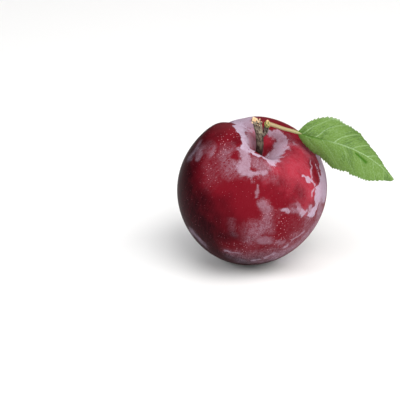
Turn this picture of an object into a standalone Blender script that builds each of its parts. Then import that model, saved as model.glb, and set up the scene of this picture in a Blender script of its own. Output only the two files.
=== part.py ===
"""A whole plum, as picked: the fruit with its stalk, a short side spur, its bud and one leaf.

Metres, +Z up. The origin is the centre of the small flat spot that the fruit rests on.
The stem end leans towards -Y and a little towards +X, and the leaf reaches out along +X.
"""

import math

import bmesh
import bpy
from mathutils import Matrix, Vector

MM = 0.001

# Fruit, in its own frame: +Z runs from the blossom end to the stem end.
FRUIT_WIDTH = 64.0 * MM
FRUIT_LENGTH = 66.0 * MM
SHOULDER_FULLNESS = 0.09  # how much wider the stem half is than the blossom half
CHEEK_FULLNESS = 0.018  # the cheeks either side of the suture stand out by this share
LEAN_FORWARD = math.radians(20.0)
LEAN_SIDEWAYS = math.radians(9.0)
FLAT_DEPTH = 0.8 * MM  # how much of the underside the flat spot takes away

# Hollow that the stalk grows from. It reaches further on one side than on the other.
CAVITY_DEPTH = 12.0 * MM
CAVITY_RADIUS = 7.2 * MM
CAVITY_REACH = 0.32
CAVITY_REACH_AZIMUTH = math.radians(-25.0)
CAVITY_SHARPNESS = 2.2

# Suture: the shallow groove down one side, from the cavity to the blossom end.
SUTURE_AZIMUTH = math.radians(125.0)
SUTURE_HALF_WIDTH = (4.6 * MM, 2.8 * MM)  # near the rim, and lower down
SUTURE_DEPTH = (3.0 * MM, 0.45 * MM)
SUTURE_EASES = (0.5, 1.2)  # polar angles, in radians, between which it turns shallow
SUTURE_STARTS = (0.08, 0.3)  # and those over which it grows out of the hollow

BLOSSOM_DIMPLE_DEPTH = 0.8 * MM
BLOSSOM_DIMPLE_RADIUS = 3.0 * MM

FRUIT_MERIDIANS = 60
FRUIT_RINGS = 48
POLE_CROWDING = 0.45  # share by which the rings crowd towards the stem end

# Woody pieces. Routes and places are in millimetres from the foot of the stalk, in the
# hollow. Each thickness is the share of the radius that holds at that point of the route.
FOOT_LIFT = 1.5 * MM  # keeps the stalk's square foot clear of the funnel around it
STALK_RADIUS = 1.3 * MM
STALK_ROUTE = (
    (0.0, 0.0, 0.0), (-0.2, -0.9, 4.7), (-0.4, -1.5, 9.5), (-1.1, -1.8, 13.7), (-1.5, -1.8, 16.9)
)
STALK_THICKNESS = (0.95, 0.95, 1.0, 1.25, 1.5)
NOTCH_WIDTH = 1.6 * MM
NOTCH_TURN = (0.0, math.radians(45.0), math.radians(20.0))  # on edge, so it cuts a V
SPUR_RADIUS = 1.1 * MM
SPUR_ROUTE = ((1.8, -0.5, 8.6), (2.05, -0.4, 10.1), (2.4, -0.3, 11.8))
SPUR_THICKNESS = (0.5, 0.85, 1.0)
BUD_CENTRE = (2.9, -0.3, 14.1)
BUD_RADIUS = 1.15 * MM
BUD_HALF_HEIGHT = 1.9 * MM
LEAF_STALK_RADIUS = 0.8 * MM
LEAF_STALK_ROUTE = ((4.7, -0.4, 13.9), (8.5, -1.2, 12.8), (12.1, -1.7, 11.9), (15.5, -2.0, 11.0))
LEAF_STALK_THICKNESS = (1.1, 1.0, 0.95, 0.9)

# Leaf blade. Its midrib is a Bezier curve, in millimetres from the foot of the stalk. A pair
# of angles holds one for the blade's base and one for its tip.
BLADE_THICKNESS = 0.4 * MM
BLADE_MIDRIB = ((16.0, -2.0, 10.8), (27.5, -4.2, 7.0), (41.8, -5.8, 8.7), (56.0, -8.5, -7.9))
BLADE_UPPER_HALF = 11.2 * MM
BLADE_LOWER_HALF = 11.3 * MM
BLADE_END_WIDTH = 0.5 * MM
BLADE_ROLL = (math.radians(-28.0), math.radians(24.0))
UPPER_BEND = (math.radians(5.0), math.radians(64.0))
LOWER_BEND = (math.radians(40.0), math.radians(4.0))
BLADE_FACES = Vector((0.0, -0.914, 0.407))  # where the upper side looks before it rolls
BLADE_CELLS = (28, 10)


def clear_scene():
    for obj in list(bpy.data.objects):
        bpy.data.objects.remove(obj, do_unlink=True)


def new_collection(name, hidden=False):
    made = bpy.data.collections.new(name)
    bpy.context.scene.collection.children.link(made)
    made.hide_render = hidden
    return made


def new_material(name, colour, roughness):
    material = bpy.data.materials.new(name)
    material.use_nodes = True
    shader = material.node_tree.nodes["Principled BSDF"]
    shader.inputs["Base Color"].default_value = (*colour, 1.0)
    shader.inputs["Roughness"].default_value = roughness
    shader.inputs["Metallic"].default_value = 0.0
    return material


def new_object(name, data, collection, material=None):
    made = bpy.data.objects.new(name, data)
    collection.objects.link(made)
    if material:
        data.materials.append(material)
    return made


def add_cutter(name, helpers, size, location, turn=(0.0, 0.0, 0.0)):
    """A box that takes material away and never renders."""
    block = bmesh.new()
    bmesh.ops.create_cube(block, size=1.0)
    mesh = bpy.data.meshes.new(name)
    block.to_mesh(mesh)
    block.free()
    cutter = new_object(name, mesh, helpers)
    cutter.scale = size
    cutter.location = location
    cutter.rotation_euler = turn
    cutter.hide_render = True
    cutter.display_type = "WIRE"
    return cutter


def cut_away(target, cutter):
    cut = target.modifiers.new(cutter.name, "BOOLEAN")
    cut.operation = "DIFFERENCE"
    cut.solver = "EXACT"
    cut.object = cutter


def smooth_step(value, low, high):
    share = min(max((value - low) / (high - low), 0.0), 1.0)
    return share * share * (3.0 - 2.0 * share)


def between(ends, share):
    return ends[0] + (ends[1] - ends[0]) * share


def in_mm(point):
    return Vector(point) * MM


# ---------------------------------------------------------------- fruit


def fruit_surface(polar, azimuth):
    """Point of the skin at a polar angle from the stem end and an azimuth round the axis."""
    from_suture = azimuth - SUTURE_AZIMUTH
    ring = 0.5 * FRUIT_WIDTH * math.sin(polar)
    ring *= 1.0 + SHOULDER_FULLNESS * math.cos(polar)
    ring *= 1.0 - CHEEK_FULLNESS * math.cos(2.0 * from_suture)
    height = 0.5 * FRUIT_LENGTH * math.cos(polar)

    if polar < 0.5 * math.pi:
        reach = CAVITY_RADIUS * (1.0 + CAVITY_REACH * math.cos(azimuth - CAVITY_REACH_AZIMUTH))
        height -= CAVITY_DEPTH * math.exp(-((ring / reach) ** CAVITY_SHARPNESS))
    else:
        height += BLOSSOM_DIMPLE_DEPTH * math.exp(-((ring / BLOSSOM_DIMPLE_RADIUS) ** 2))

    if math.cos(from_suture) > 0.0:
        below_rim = smooth_step(polar, *SUTURE_EASES)
        across = ring * math.sin(from_suture) / between(SUTURE_HALF_WIDTH, below_rim)
        depth = between(SUTURE_DEPTH, below_rim)
        depth *= smooth_step(polar, *SUTURE_STARTS)
        depth *= smooth_step(math.pi - polar, *SUTURE_STARTS)
        depth *= math.exp(-across * across) * math.cos(from_suture)
        ring -= depth * math.sin(polar)
        height -= depth * math.cos(polar)
    return Vector((ring * math.cos(azimuth), ring * math.sin(azimuth), height))


def fruit_lean():
    return Matrix.Rotation(LEAN_SIDEWAYS, 4, "Y") @ Matrix.Rotation(LEAN_FORWARD, 4, "X")


def add_fruit(parts, helpers, material):
    """A sphere shaped into the fruit, leant over, then cut flat where it rests."""
    cage = bmesh.new()
    bmesh.ops.create_uvsphere(cage, u_segments=FRUIT_MERIDIANS, v_segments=FRUIT_RINGS, radius=1.0)
    for vertex in cage.verts:
        polar = math.acos(max(-1.0, min(1.0, vertex.co.z)))
        polar -= POLE_CROWDING * math.sin(polar)
        azimuth = math.atan2(vertex.co.y, vertex.co.x)
        vertex.co = fruit_surface(polar, azimuth)
    bmesh.ops.transform(cage, matrix=fruit_lean(), verts=cage.verts)
    spot = resting_spot(cage)
    mesh = bpy.data.meshes.new("fruit")
    cage.to_mesh(mesh)
    cage.free()
    mesh.shade_smooth()

    fruit = new_object("fruit", mesh, parts, material)
    fruit.location = -spot
    cut_level(fruit, helpers)
    return fruit


def resting_spot(cage):
    """Centre of the flat spot: the middle of the skin that will be cut away, at the cut."""
    cut_height = min(vertex.co.z for vertex in cage.verts) + FLAT_DEPTH
    below = [face for face in cage.faces if face.calc_center_median().z < cut_height]
    area = sum(face.calc_area() for face in below)
    spot = sum((face.calc_center_median() * face.calc_area() for face in below), Vector()) / area
    return Vector((spot.x, spot.y, cut_height))


def cut_level(fruit, helpers):
    """Takes away what lies under the resting plane, which leaves the flat spot."""
    side = 2.0 * FRUIT_WIDTH
    cut_away(fruit, add_cutter("resting_plane", helpers, (side, side, side), (0, 0, -0.5 * side)))


def stalk_foot(fruit):
    """Centre of the stalk's lower end, just above the deepest point of the hollow."""
    return fruit.location + fruit_lean() @ (fruit_surface(0.0, 0.0) + Vector((0.0, 0.0, FOOT_LIFT)))


# ---------------------------------------------------------------- woody pieces


def smooth_route(points, steps):
    """Catmull-Rom curve through the points, evenly stepped between each two of them."""
    ends = [points[0] * 2.0 - points[1], *points, points[-1] * 2.0 - points[-2]]
    route = []
    for a, b, c, d in zip(ends, ends[1:], ends[2:], ends[3:]):
        for step in range(steps):
            t = step / steps
            route.append(
                0.5 * (2.0 * b + (c - a) * t + (2.0 * a - 5.0 * b + 4.0 * c - d) * t**2
                       + (3.0 * b - a - 3.0 * c + d) * t**3)
            )
    return [*route, points[-1]]


def add_rod(name, route, thickness, radius, foot, parts, material, steps=4, sides=3):
    """A tube with closed ends along the route, as thick at each point as its share says."""
    widths = smooth_route([Vector((share, 0.0, 0.0)) for share in thickness], steps)
    places = smooth_route([foot + in_mm(point) for point in route], steps)
    curve = bpy.data.curves.new(name, "CURVE")
    curve.dimensions = "3D"
    curve.bevel_depth = radius
    curve.bevel_resolution = sides
    curve.use_fill_caps = True
    spline = curve.splines.new("POLY")
    spline.points.add(len(places) - 1)
    for point, place, width in zip(spline.points, places, widths):
        point.co = (*place, 1.0)
        point.radius = width.x
    return new_object(name, curve, parts, material)


def as_mesh(rod):
    """The same rod as a mesh with its caps welded on, so that it can be cut."""
    graph = bpy.context.evaluated_depsgraph_get()
    mesh = bpy.data.meshes.new_from_object(rod.evaluated_get(graph))
    welded = bmesh.new()
    welded.from_mesh(mesh)
    bmesh.ops.remove_doubles(welded, verts=welded.verts, dist=0.01 * MM)
    welded.to_mesh(mesh)
    welded.free()
    name, collection, place = rod.name, rod.users_collection[0], rod.matrix_world.copy()
    bpy.data.objects.remove(rod)
    made = new_object(name, mesh, collection)
    made.matrix_world = place
    return made


def add_stalk(foot, parts, helpers, bark):
    """The woody stalk. Its top is torn, which leaves a notch between two points."""
    rod = add_rod("fruit_stalk", STALK_ROUTE, STALK_THICKNESS, STALK_RADIUS, foot, parts, bark)
    stalk = as_mesh(rod)
    size = (NOTCH_WIDTH, 6.0 * STALK_RADIUS, NOTCH_WIDTH)
    notch = add_cutter("torn_notch", helpers, size, foot + in_mm(STALK_ROUTE[-1]), NOTCH_TURN)
    cut_away(stalk, notch)
    return stalk


def add_bud(foot, parts, material):
    egg = bmesh.new()
    bmesh.ops.create_uvsphere(egg, u_segments=14, v_segments=10, radius=1.0)
    for vertex in egg.verts:
        tip = 1.0 - 0.25 * smooth_step(vertex.co.z, 0.0, 1.0)
        vertex.co.x *= BUD_RADIUS * tip
        vertex.co.y *= BUD_RADIUS * tip
        vertex.co.z *= BUD_HALF_HEIGHT
    mesh = bpy.data.meshes.new("spur_bud")
    egg.to_mesh(mesh)
    egg.free()
    mesh.shade_smooth()
    bud = new_object("spur_bud", mesh, parts, material)
    bud.location = foot + in_mm(BUD_CENTRE)
    return bud


# ---------------------------------------------------------------- leaf


def bezier(points, t):
    a, b, c, d = points
    return a * (1 - t) ** 3 + b * 3 * t * (1 - t) ** 2 + c * 3 * t * t * (1 - t) + d * t**3


def bezier_slope(points, t):
    a, b, c, d = points
    return ((b - a) * (1 - t) ** 2 + (c - b) * 2 * t * (1 - t) + (d - c) * t * t).normalized()


def half_width(along, widest):
    """Elliptic leaf with a blunt base and tip."""
    swell = math.sin(math.pi * along**0.96) ** 0.48
    return BLADE_END_WIDTH + (widest - BLADE_END_WIDTH) * swell


def blade_surface(midrib, along, across):
    """Point of the blade. across runs from -1, the lower margin, to 1, the upper one."""
    centre = bezier(midrib, along)
    tangent = bezier_slope(midrib, along)
    facing = (BLADE_FACES - tangent * BLADE_FACES.dot(tangent)).normalized()
    upwards = facing.cross(tangent)
    roll = between(BLADE_ROLL, along)
    normal = facing * math.cos(roll) + upwards * math.sin(roll)
    sideways = upwards * math.cos(roll) - facing * math.sin(roll)
    if across >= 0.0:
        width, bend = half_width(along, BLADE_UPPER_HALF), between(UPPER_BEND, along)
    else:
        width, bend = half_width(along, BLADE_LOWER_HALF), between(LOWER_BEND, along)
    turned = 2.0 * bend * abs(across)
    reach = width * math.sin(turned) / (2.0 * bend)
    drop = width * (1.0 - math.cos(turned)) / (2.0 * bend)
    return centre + sideways * math.copysign(reach, across) - normal * drop


def add_blade(foot, parts, material):
    """A grid laid over the blade's surface, then given its thickness."""
    midrib = [foot + in_mm(point) for point in BLADE_MIDRIB]
    sheet = bmesh.new()
    cells_along, cells_across = BLADE_CELLS
    bmesh.ops.create_grid(sheet, x_segments=cells_along, y_segments=cells_across, size=1.0)
    for vertex in sheet.verts:
        vertex.co = blade_surface(midrib, 0.5 + 0.5 * vertex.co.x, vertex.co.y)
    mesh = bpy.data.meshes.new("leaf_blade")
    sheet.to_mesh(mesh)
    sheet.free()
    mesh.shade_smooth()
    blade = new_object("leaf_blade", mesh, parts, material)
    wall = blade.modifiers.new("thickness", "SOLIDIFY")
    wall.thickness = BLADE_THICKNESS
    wall.offset = 0.0
    return blade


def build():
    clear_scene()
    parts = new_collection("plum")
    helpers = new_collection("cutters", hidden=True)
    skin = new_material("plum_skin", (0.30, 0.02, 0.04), 0.45)
    bark = new_material("stalk_bark", (0.16, 0.12, 0.09), 0.85)
    green_bark = new_material("bud_green", (0.30, 0.33, 0.13), 0.7)
    green_stem = new_material("leaf_stalk_green", (0.50, 0.47, 0.19), 0.55)
    leaf = new_material("leaf_green", (0.16, 0.29, 0.08), 0.5)

    fruit = add_fruit(parts, helpers, skin)
    foot = stalk_foot(fruit)
    add_stalk(foot, parts, helpers, bark)
    add_rod("side_spur", SPUR_ROUTE, SPUR_THICKNESS, SPUR_RADIUS, foot, parts, bark)
    add_bud(foot, parts, green_bark)
    add_rod("leaf_stalk", LEAF_STALK_ROUTE, LEAF_STALK_THICKNESS, LEAF_STALK_RADIUS,
            foot, parts, green_stem, steps=5, sides=2)
    add_blade(foot, parts, leaf)


build()
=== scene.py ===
"""A ripe plum, as picked: skin with its bloom, woody stalk, side spur, bud, leaf stalk and leaf.

Every piece is a surface worked out in millimetre detail around the fixed frame of the plum.
The frame's axes hold: +Z up, the plum stands on its flat spot at the origin, the stem end
leans towards -Y and the leaf reaches out along +X.
"""

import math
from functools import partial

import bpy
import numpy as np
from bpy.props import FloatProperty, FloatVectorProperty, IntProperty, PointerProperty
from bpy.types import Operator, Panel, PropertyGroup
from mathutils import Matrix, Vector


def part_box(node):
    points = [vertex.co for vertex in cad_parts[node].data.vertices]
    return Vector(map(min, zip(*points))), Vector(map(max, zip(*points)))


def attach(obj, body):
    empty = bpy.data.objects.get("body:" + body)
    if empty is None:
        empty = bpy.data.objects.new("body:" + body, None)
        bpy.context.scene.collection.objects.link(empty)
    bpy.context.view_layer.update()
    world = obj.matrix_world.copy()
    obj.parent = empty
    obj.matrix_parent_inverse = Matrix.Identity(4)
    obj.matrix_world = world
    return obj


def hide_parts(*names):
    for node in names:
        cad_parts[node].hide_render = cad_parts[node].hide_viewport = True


bl_info = {
    "name": "Plum with Leaf",
    "version": (1, 0, 0),
    "blender": (4, 5, 0),
    "location": "View3D > Sidebar > Plum",
    "description": "Grows a ripe plum with its stalk, bud and leaf around a fixed frame",
    "category": "Add Mesh",
}

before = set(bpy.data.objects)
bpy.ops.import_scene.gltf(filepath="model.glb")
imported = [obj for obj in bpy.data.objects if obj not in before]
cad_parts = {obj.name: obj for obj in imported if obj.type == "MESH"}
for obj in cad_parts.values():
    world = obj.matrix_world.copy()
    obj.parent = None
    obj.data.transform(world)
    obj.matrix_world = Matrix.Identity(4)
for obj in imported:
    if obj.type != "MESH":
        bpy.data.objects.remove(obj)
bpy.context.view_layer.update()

MM = 0.001


# ---- numbers and colours


def ease(value, low, high):
    """Smooth step: 0 below low, 1 above high, and 3t2 - 2t3 between them."""
    share = np.clip((value - low) / (high - low), 0.0, 1.0)
    return share * share * (3.0 - 2.0 * share)


def blend(ends, share):
    """Straight mix of two ends: the first at share 0, the second at share 1."""
    return ends[0] + (ends[1] - ends[0]) * share


def unit(vectors):
    """The vectors, each made 1 long."""
    return vectors / np.linalg.norm(vectors, axis=-1, keepdims=True)


def circle(count):
    """Even angles round a full turn."""
    return np.linspace(0.0, 2 * math.pi, count, endpoint=False)


def bump_at(distance, width):
    """Bell curve of the distance: 1 on the line, and about a third at one width from it."""
    return np.exp(-((distance / width) ** 2))


def to_segment(points, a, b):
    """Distance to the straight piece a-b, and how far along it the nearest point lies.

    The distance is |p - (a + t(b - a))|, with t the foot of p on the piece, held in 0 to 1.
    """
    step = b - a
    t = np.clip((points - a) @ step / (step @ step), 0.0, 1.0)
    return np.linalg.norm(points - a - t[..., None] * step, axis=-1), t


def linear(hex_colour):
    """sRGB hex to linear red, green, blue and alpha."""
    parts = [int(hex_colour[i:i + 2], 16) / 255.0 for i in (1, 3, 5)]
    return tuple(c / 12.92 if c <= 0.04045 else ((c + 0.055) / 1.055) ** 2.4 for c in parts) + (1.0,)


# ---- sizes a user may change


def measure(name, about, default_mm, **limits):
    return FloatProperty(name=name, description=about, default=default_mm * MM, min=0.0,
                         unit="LENGTH", precision=4, **limits)


def slant(name, about, degrees):
    return FloatProperty(name=name, description=about, default=math.radians(degrees),
                         subtype="ANGLE", unit="ROTATION")


def ratio(name, about, default):
    return FloatProperty(name=name, description=about, default=default, min=0.0, max=1.0,
                         subtype="FACTOR")


def colour(name, about, hex_colour):
    return FloatVectorProperty(name=name, description=about, size=4, min=0.0, max=1.0,
                               default=linear(hex_colour), subtype="COLOR")


class PlumFruitSettings(PropertyGroup):
    width: measure("Width", "Widest measure across the fruit", 64.0)
    length: measure("Length", "Stem end to blossom end, before the hollow", 66.0)
    shoulder: ratio("Shoulder", "How much wider the stem half is than the blossom half", 0.09)
    cheek: ratio("Cheek", "How far the cheeks beside the suture stand out", 0.018)
    lean_forward: slant("Lean forward", "Lean of the stem end towards the front", 20.0)
    lean_sideways: slant("Lean sideways", "Lean of the stem end towards the leaf", 9.0)
    hollow_depth: measure("Hollow depth", "Depth of the stem hollow", 12.0)
    hollow_radius: measure("Hollow radius", "How wide the stem hollow opens", 7.2)
    hollow_reach: ratio("Hollow reach", "How much further the hollow opens on one side", 0.32)
    suture_azimuth: slant("Suture", "Where the suture runs, round the fruit's axis", 125.0)
    # Dark skin goes on the side away from the key light and sunny skin on the side towards it: partly
    # the skin's own colour, partly painted shade and painted light.
    dark_and_shaded_skin: colour("Dark skin", "Skin that ripened in the shade", "#1d0206")
    red_skin: colour("Red skin", "Most of the skin", "#680d19")
    sunny_and_lit_skin: colour("Sunny skin", "Skin that ripened in the sun", "#992534")
    bloom: colour("Bloom", "The powdery wax bloom", "#b4a3b6")


class PlumStalkSettings(PropertyGroup):
    radius: measure("Radius", "Half the thickness of the stalk", 1.3)
    spur_radius: measure("Spur radius", "Half the thickness of the side spur", 1.1)
    bark: colour("Bark", "Weathered bark", "#62544a")
    deep_bark: colour("Deep bark", "Bark in the furrows", "#2b1c18")
    wood: colour("Torn wood", "Fresh wood of the break", "#ecc79c")


class PlumBudSettings(PropertyGroup):
    radius: measure("Radius", "Half the width of the bud", 1.42)
    half_height: measure("Half height", "Half the height of the bud", 1.75)
    scales: IntProperty(name="Scales", description="Bud scales in each turn", default=5, min=3)
    green: colour("Scale", "Green of the scales", "#8a9150")
    tip: colour("Tip", "Dry tips of the scales", "#e2b48c")


class PlumLeafSettings(PropertyGroup):
    stalk_radius: measure("Stalk radius", "Half the thickness of the leaf stalk", 0.8)
    upper_half: measure("Upper half", "Widest reach above the midrib", 11.2)
    lower_half: measure("Lower half", "Widest reach below the midrib", 11.3)
    thickness: measure("Thickness", "Thickness of the blade beside the midrib", 0.34)
    tooth_pitch: measure("Tooth pitch", "Distance from one tooth of the margin to the next", 1.5)
    tooth_depth: measure("Tooth depth", "How far a tooth stands out", 0.8)
    green: colour("Upper side", "Green of the upper side", "#4f6b30")
    underside: colour("Underside", "Green of the underside", "#7f9c60")
    vein: colour("Veins", "Midrib and side veins", "#a9c39a")
    petiole: colour("Leaf stalk", "Yellowish green of the leaf stalk", "#9a8560")


class PlumStageSettings(PropertyGroup):
    height: slant("Camera height", "How far the camera looks down", 24.0)
    distance: measure("Camera distance", "From the middle of the fruit", 700.0)
    lens: FloatProperty(name="Lens", description="Focal length in millimetres", default=145.4,
                        min=10.0)
    floor: colour("Floor", "Pale table top", "#f1f1f1")


# ---- meshes


def new_piece(name, mesh, materials, slot, *nodes):
    """Puts the mesh into the scene as a piece that stands for CAD nodes and rides with them."""
    for material in materials:
        mesh.materials.append(material)
    mesh.shade_smooth()
    piece = bpy.data.objects.new(name, mesh)
    bpy.context.scene.collection.objects.link(piece)
    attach(piece, "root")
    if nodes:
        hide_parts(*nodes)


def to_mesh(name, points, faces, marks=None):
    """Mesh of the points and faces, turned inside out where its volume comes out negative.

    The volume is a sixth of the sum of a . (b x c) over the triangles a, b, c.
    """
    fans = [np.stack((f[:, 0], f[:, i], f[:, i + 1]), -1) for f in faces
            for i in range(1, f.shape[1] - 1)]
    a, b, c = np.moveaxis(points[np.vstack(fans)], 1, 0)
    if np.einsum("ij,ij->", a, np.cross(b, c)) < 0.0:
        faces = [f[:, ::-1] for f in faces]
    mesh = bpy.data.meshes.new(name)
    mesh.from_pydata(points, [], [face for f in faces for face in f.tolist()])
    for mark, values in (marks or {}).items():
        kind = "FLOAT_VECTOR" if values.ndim == 2 else "FLOAT"
        layer = mesh.attributes.new(mark, kind, "POINT")
        key = "vector" if values.ndim == 2 else "value"
        layer.data.foreach_set(key, values.astype(np.float32).ravel())
    return mesh


def closed_skin(rings, first, last):
    """Points and faces of a skin over rings[i, j], closed by one pole before and one after."""
    count, around = rings.shape[:2]
    points = np.vstack((first, rings.reshape(-1, 3), last))
    j = np.arange(around)
    beside = (j + 1) % around
    row = 1 + np.arange(count - 1)[:, None] * around
    quads = np.stack((row + j, row + beside, row + around + beside, row + around + j), -1)
    head = np.stack((np.zeros_like(j), 1 + beside, 1 + j), -1)
    foot_row = 1 + (count - 1) * around
    tail = np.stack((np.full_like(j, len(points) - 1), foot_row + j, foot_row + beside), -1)
    return points, [quads.reshape(-1, 4), head, tail]


def with_poles(values, first, last):
    """The same closing for a value that each point of the rings carries."""
    flat = values.reshape(-1, *values.shape[2:])
    return np.concatenate((np.atleast_1d(first).reshape(1, *flat.shape[1:]), flat,
                           np.atleast_1d(last).reshape(1, *flat.shape[1:])))


def smooth_route(points, steps):
    """Catmull-Rom curve through the points, with that many even steps between each two."""
    points = np.asarray(points, float)
    if points.ndim == 1:
        return smooth_route(points[:, None], steps)[:, 0]
    ends = np.vstack((2 * points[0] - points[1], points, 2 * points[-1] - points[-2]))
    place = np.linspace(0.0, len(points) - 1.0, steps * (len(points) - 1) + 1)
    k = np.minimum(place.astype(int), len(points) - 2)
    t = (place - k)[:, None]
    a, b, c, d = ends[k], ends[k + 1], ends[k + 2], ends[k + 3]
    return 0.5 * (2 * b + (c - a) * t + (2 * a - 5 * b + 4 * c - d) * t**2
                  + (3 * b - a - 3 * c + d) * t**3)


def rod_rings(route, radii, upright):
    """Rings round a route: centre + radius * (cos a * side + sin a * other side).

    radii[i, j] is the radius at ring i and angle j. The first side is the part of the
    upright vector that is square to the route.
    """
    slope = unit(np.gradient(route, axis=0))
    side = unit(upright - slope * (slope @ upright)[:, None])
    other = np.cross(slope, side)
    turn = circle(radii.shape[1])[None, :, None]
    around = np.cos(turn) * side[:, None] + np.sin(turn) * other[:, None]
    return route[:, None] + radii[:, :, None] * around


def rod_route(points, thickness, grid, foot):
    """A rod's smooth route from the foot, how thick it is along it, and the shape of its rings."""
    route = smooth_route(np.array(points) * MM + foot, grid[0])
    return route, smooth_route(thickness, grid[0])[:, None], (len(route), grid[1])


def rod_mesh(name, route, radii, upright, reach):
    """A rod closed at both ends of its route, which carries its reach from end to end."""
    points, faces = closed_skin(rod_rings(route, radii, upright), route[0], route[-1])
    reach = np.broadcast_to(reach, radii.shape)
    return to_mesh(name, points, faces, {"reach": with_poles(reach, reach[0, 0], 1.0)})


def ripples(shape, waves, seed, tightness=1.0):
    """Smooth random relief between about -1 and 1: a sum of waves that close round each ring."""
    random = np.random.default_rng(seed)
    rows = np.linspace(0.0, 1.0, shape[0])[:, None]
    total = np.zeros(shape)
    for order in waves:
        phase, drift = random.uniform(0, 2 * math.pi), random.uniform(-tightness, tightness)
        total += np.cos(order * circle(shape[1]) + phase + drift * 2 * math.pi * rows * order**0.5)
    return total / len(waves) ** 0.5


# ---- where things are

# Places are in millimetres from the foot of the stalk. A pair of values for the suture gives
# it beside the hollow and further down.
HOLLOW_SHARPNESS = 2.2
HOLLOW_REACH_AZIMUTH = math.radians(-25.0)
LIP_FOLD = 1.7 * MM  # the front lip leans in over the hollow by this much
LIP_AZIMUTH = math.radians(-102.0)
LIP_SPREAD = math.radians(36.0)
SUTURE_HALF_WIDTH = (4.6 * MM, 2.8 * MM)
SUTURE_DEPTH = (3.0 * MM, 0.45 * MM)
SUTURE_SHARPNESS = (1.25, 2.0)
SUTURE_EASES = (0.5, 1.2)
SUTURE_STARTS = (0.08, 0.3)
BLOSSOM_DIMPLE_DEPTH = 0.8 * MM
BLOSSOM_DIMPLE_RADIUS = 3.0 * MM
POLE_CROWDING = 0.45
FOOT_LIFT = 1.5 * MM

# Of each rod: its route, how thick it is at each point as a share of its radius, and its grid,
# which is the steps between two points of the route and the points round a ring.
STALK_ROUTE = (
    (-0.6, 0.5, -2.6), (-0.5, -0.2, 0.6), (-0.2, -0.9, 4.7), (-0.35, -1.5, 9.5),
    (-1.1, -1.8, 13.7), (-1.75, -1.8, 16.6),
)
STALK_THICKNESS = (1.1, 1.0, 1.05, 1.15, 1.3, 1.75)
STALK_GRID = (26, 64)
SPUR_ROUTE = (
    (0.2, -1.3, 8.4), (1.2, -0.9, 9.4), (2.1, -0.4, 10.6), (2.4, -0.3, 11.9), (2.6, -0.3, 12.9),
)
SPUR_THICKNESS = (0.5, 0.72, 0.9, 1.0, 0.9)
SPUR_GRID = (18, 40)
SPUR_LENGTH = 6.6
SCAR_PITCH = 0.75
LEAF_STALK_ROUTE = (
    (3.3, -0.3, 14.0), (4.7, -0.4, 13.9), (8.5, -1.2, 12.8), (12.1, -1.7, 11.9),
    (15.5, -2.0, 11.0), (17.2, -2.35, 10.45),
)
LEAF_STALK_THICKNESS = (1.35, 1.12, 0.98, 0.95, 0.85, 0.3)
LEAF_STALK_GRID = (24, 40)

# Splinters, from the top of the stalk: foot, tip and half thickness, in mm.
SPLINTERS = (
    ((-1.3, -0.6, -1.2), (-1.5, -0.7, 1.6), 0.78),
    ((-0.6, -1.1, -1.2), (-0.5, -1.1, 1.0), 0.6),
    ((0.3, -1.4, -1.6), (0.45, -1.5, 0.2), 0.55),
    ((1.0, -1.3, -2.2), (1.3, -1.4, -0.6), 0.5),
    ((1.6, -0.9, -3.0), (1.95, -1.0, -1.4), 0.45),
    ((0.2, 0.5, -1.5), (0.1, 0.6, 0.2), 0.5),
    ((-0.9, 0.6, -1.3), (-1.1, 0.8, 0.9), 0.5),
    ((0.9, 0.7, -2.2), (1.1, 0.9, -0.7), 0.5),
)
SPLINTER_GRID = (12, 9)

BUD_CENTRE = (2.9, -0.3, 14.1)
BUD_GRID = (70, 80)
BUD_TURNS = 4

BLADE_MIDRIB = ((16.0, -2.0, 10.8), (27.5, -4.2, 7.0), (41.8, -5.8, 8.7), (56.0, -8.5, -7.9))
TIP_WIDTH = 0.15 * MM
# For the upper and the lower half: how far the tip is drawn in, then lobes (place, spread, mm).
BLADE_SHAPES = ((0.62, ((0.62, 0.1, 0.3),)), (0.3, ((0.64, 0.05, -0.7), (0.86, 0.08, 1.9))))
FOLD = ((25.5, -1.2), (31.3, -2.4))  # a short fold by the midrib, mm along and across
# Roll and bends: at the blade's base, and at its tip.
BLADE_ROLL = (math.radians(-28.0), math.radians(24.0))
UPPER_BEND = (math.radians(5.0), math.radians(64.0))
LOWER_BEND = (math.radians(40.0), math.radians(4.0))
BLADE_FACES = np.array((0.0, -0.914, 0.407))  # the way the upper side looks


def lean(fruit):
    """Turns the fruit's own axis into the frame: forward about X, then sideways about Y."""
    c, s = math.cos(fruit.lean_forward), math.sin(fruit.lean_forward)
    forward = np.array(((1, 0, 0), (0, c, -s), (0, s, c)))
    c, s = math.cos(fruit.lean_sideways), math.sin(fruit.lean_sideways)
    return np.array(((c, 0, s), (0, 1, 0), (-s, 0, c))) @ forward


def fruit_centre(fruit):
    """Middle of the fruit in the frame: its leant surface is fitted to the CAD fruit's box."""
    polar = np.linspace(0.0, math.pi, 181)[:, None]
    points = (fruit_surface(fruit, polar, circle(180)) @ lean(fruit).T).reshape(-1, 3)
    low, high = (np.array(corner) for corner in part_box("fruit"))
    middle = 0.5 * (low + high) - 0.5 * (points.min(0) + points.max(0))
    return np.array((middle[0], middle[1], high[2] - points[:, 2].max()))


def stalk_foot(fruit):
    """Where the stalk grows from the floor of the hollow."""
    height = 0.5 * fruit.length - fruit.hollow_depth + FOOT_LIFT
    return fruit_centre(fruit) + lean(fruit) @ np.array((0.0, 0.0, height))


# ---- fruit

FRUIT_RINGS = 260
FRUIT_MERIDIANS = 320
# The skin is painted brighter towards this side, which faces the key light, and darker away from it:
# partly its own sun blush, partly painted light and shade.
SUNNY_AND_LIT_SIDE = (39.0, -29.0)  # a direction: polar angle and azimuth, in degrees
# A fuller cheek and a flatter one: polar angle and azimuth, spread in degrees, height in mm.
SWELLINGS = (((42.0, 147.0), 17.0, 0.9), ((46.0, 113.0), 9.0, -0.7))

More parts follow.
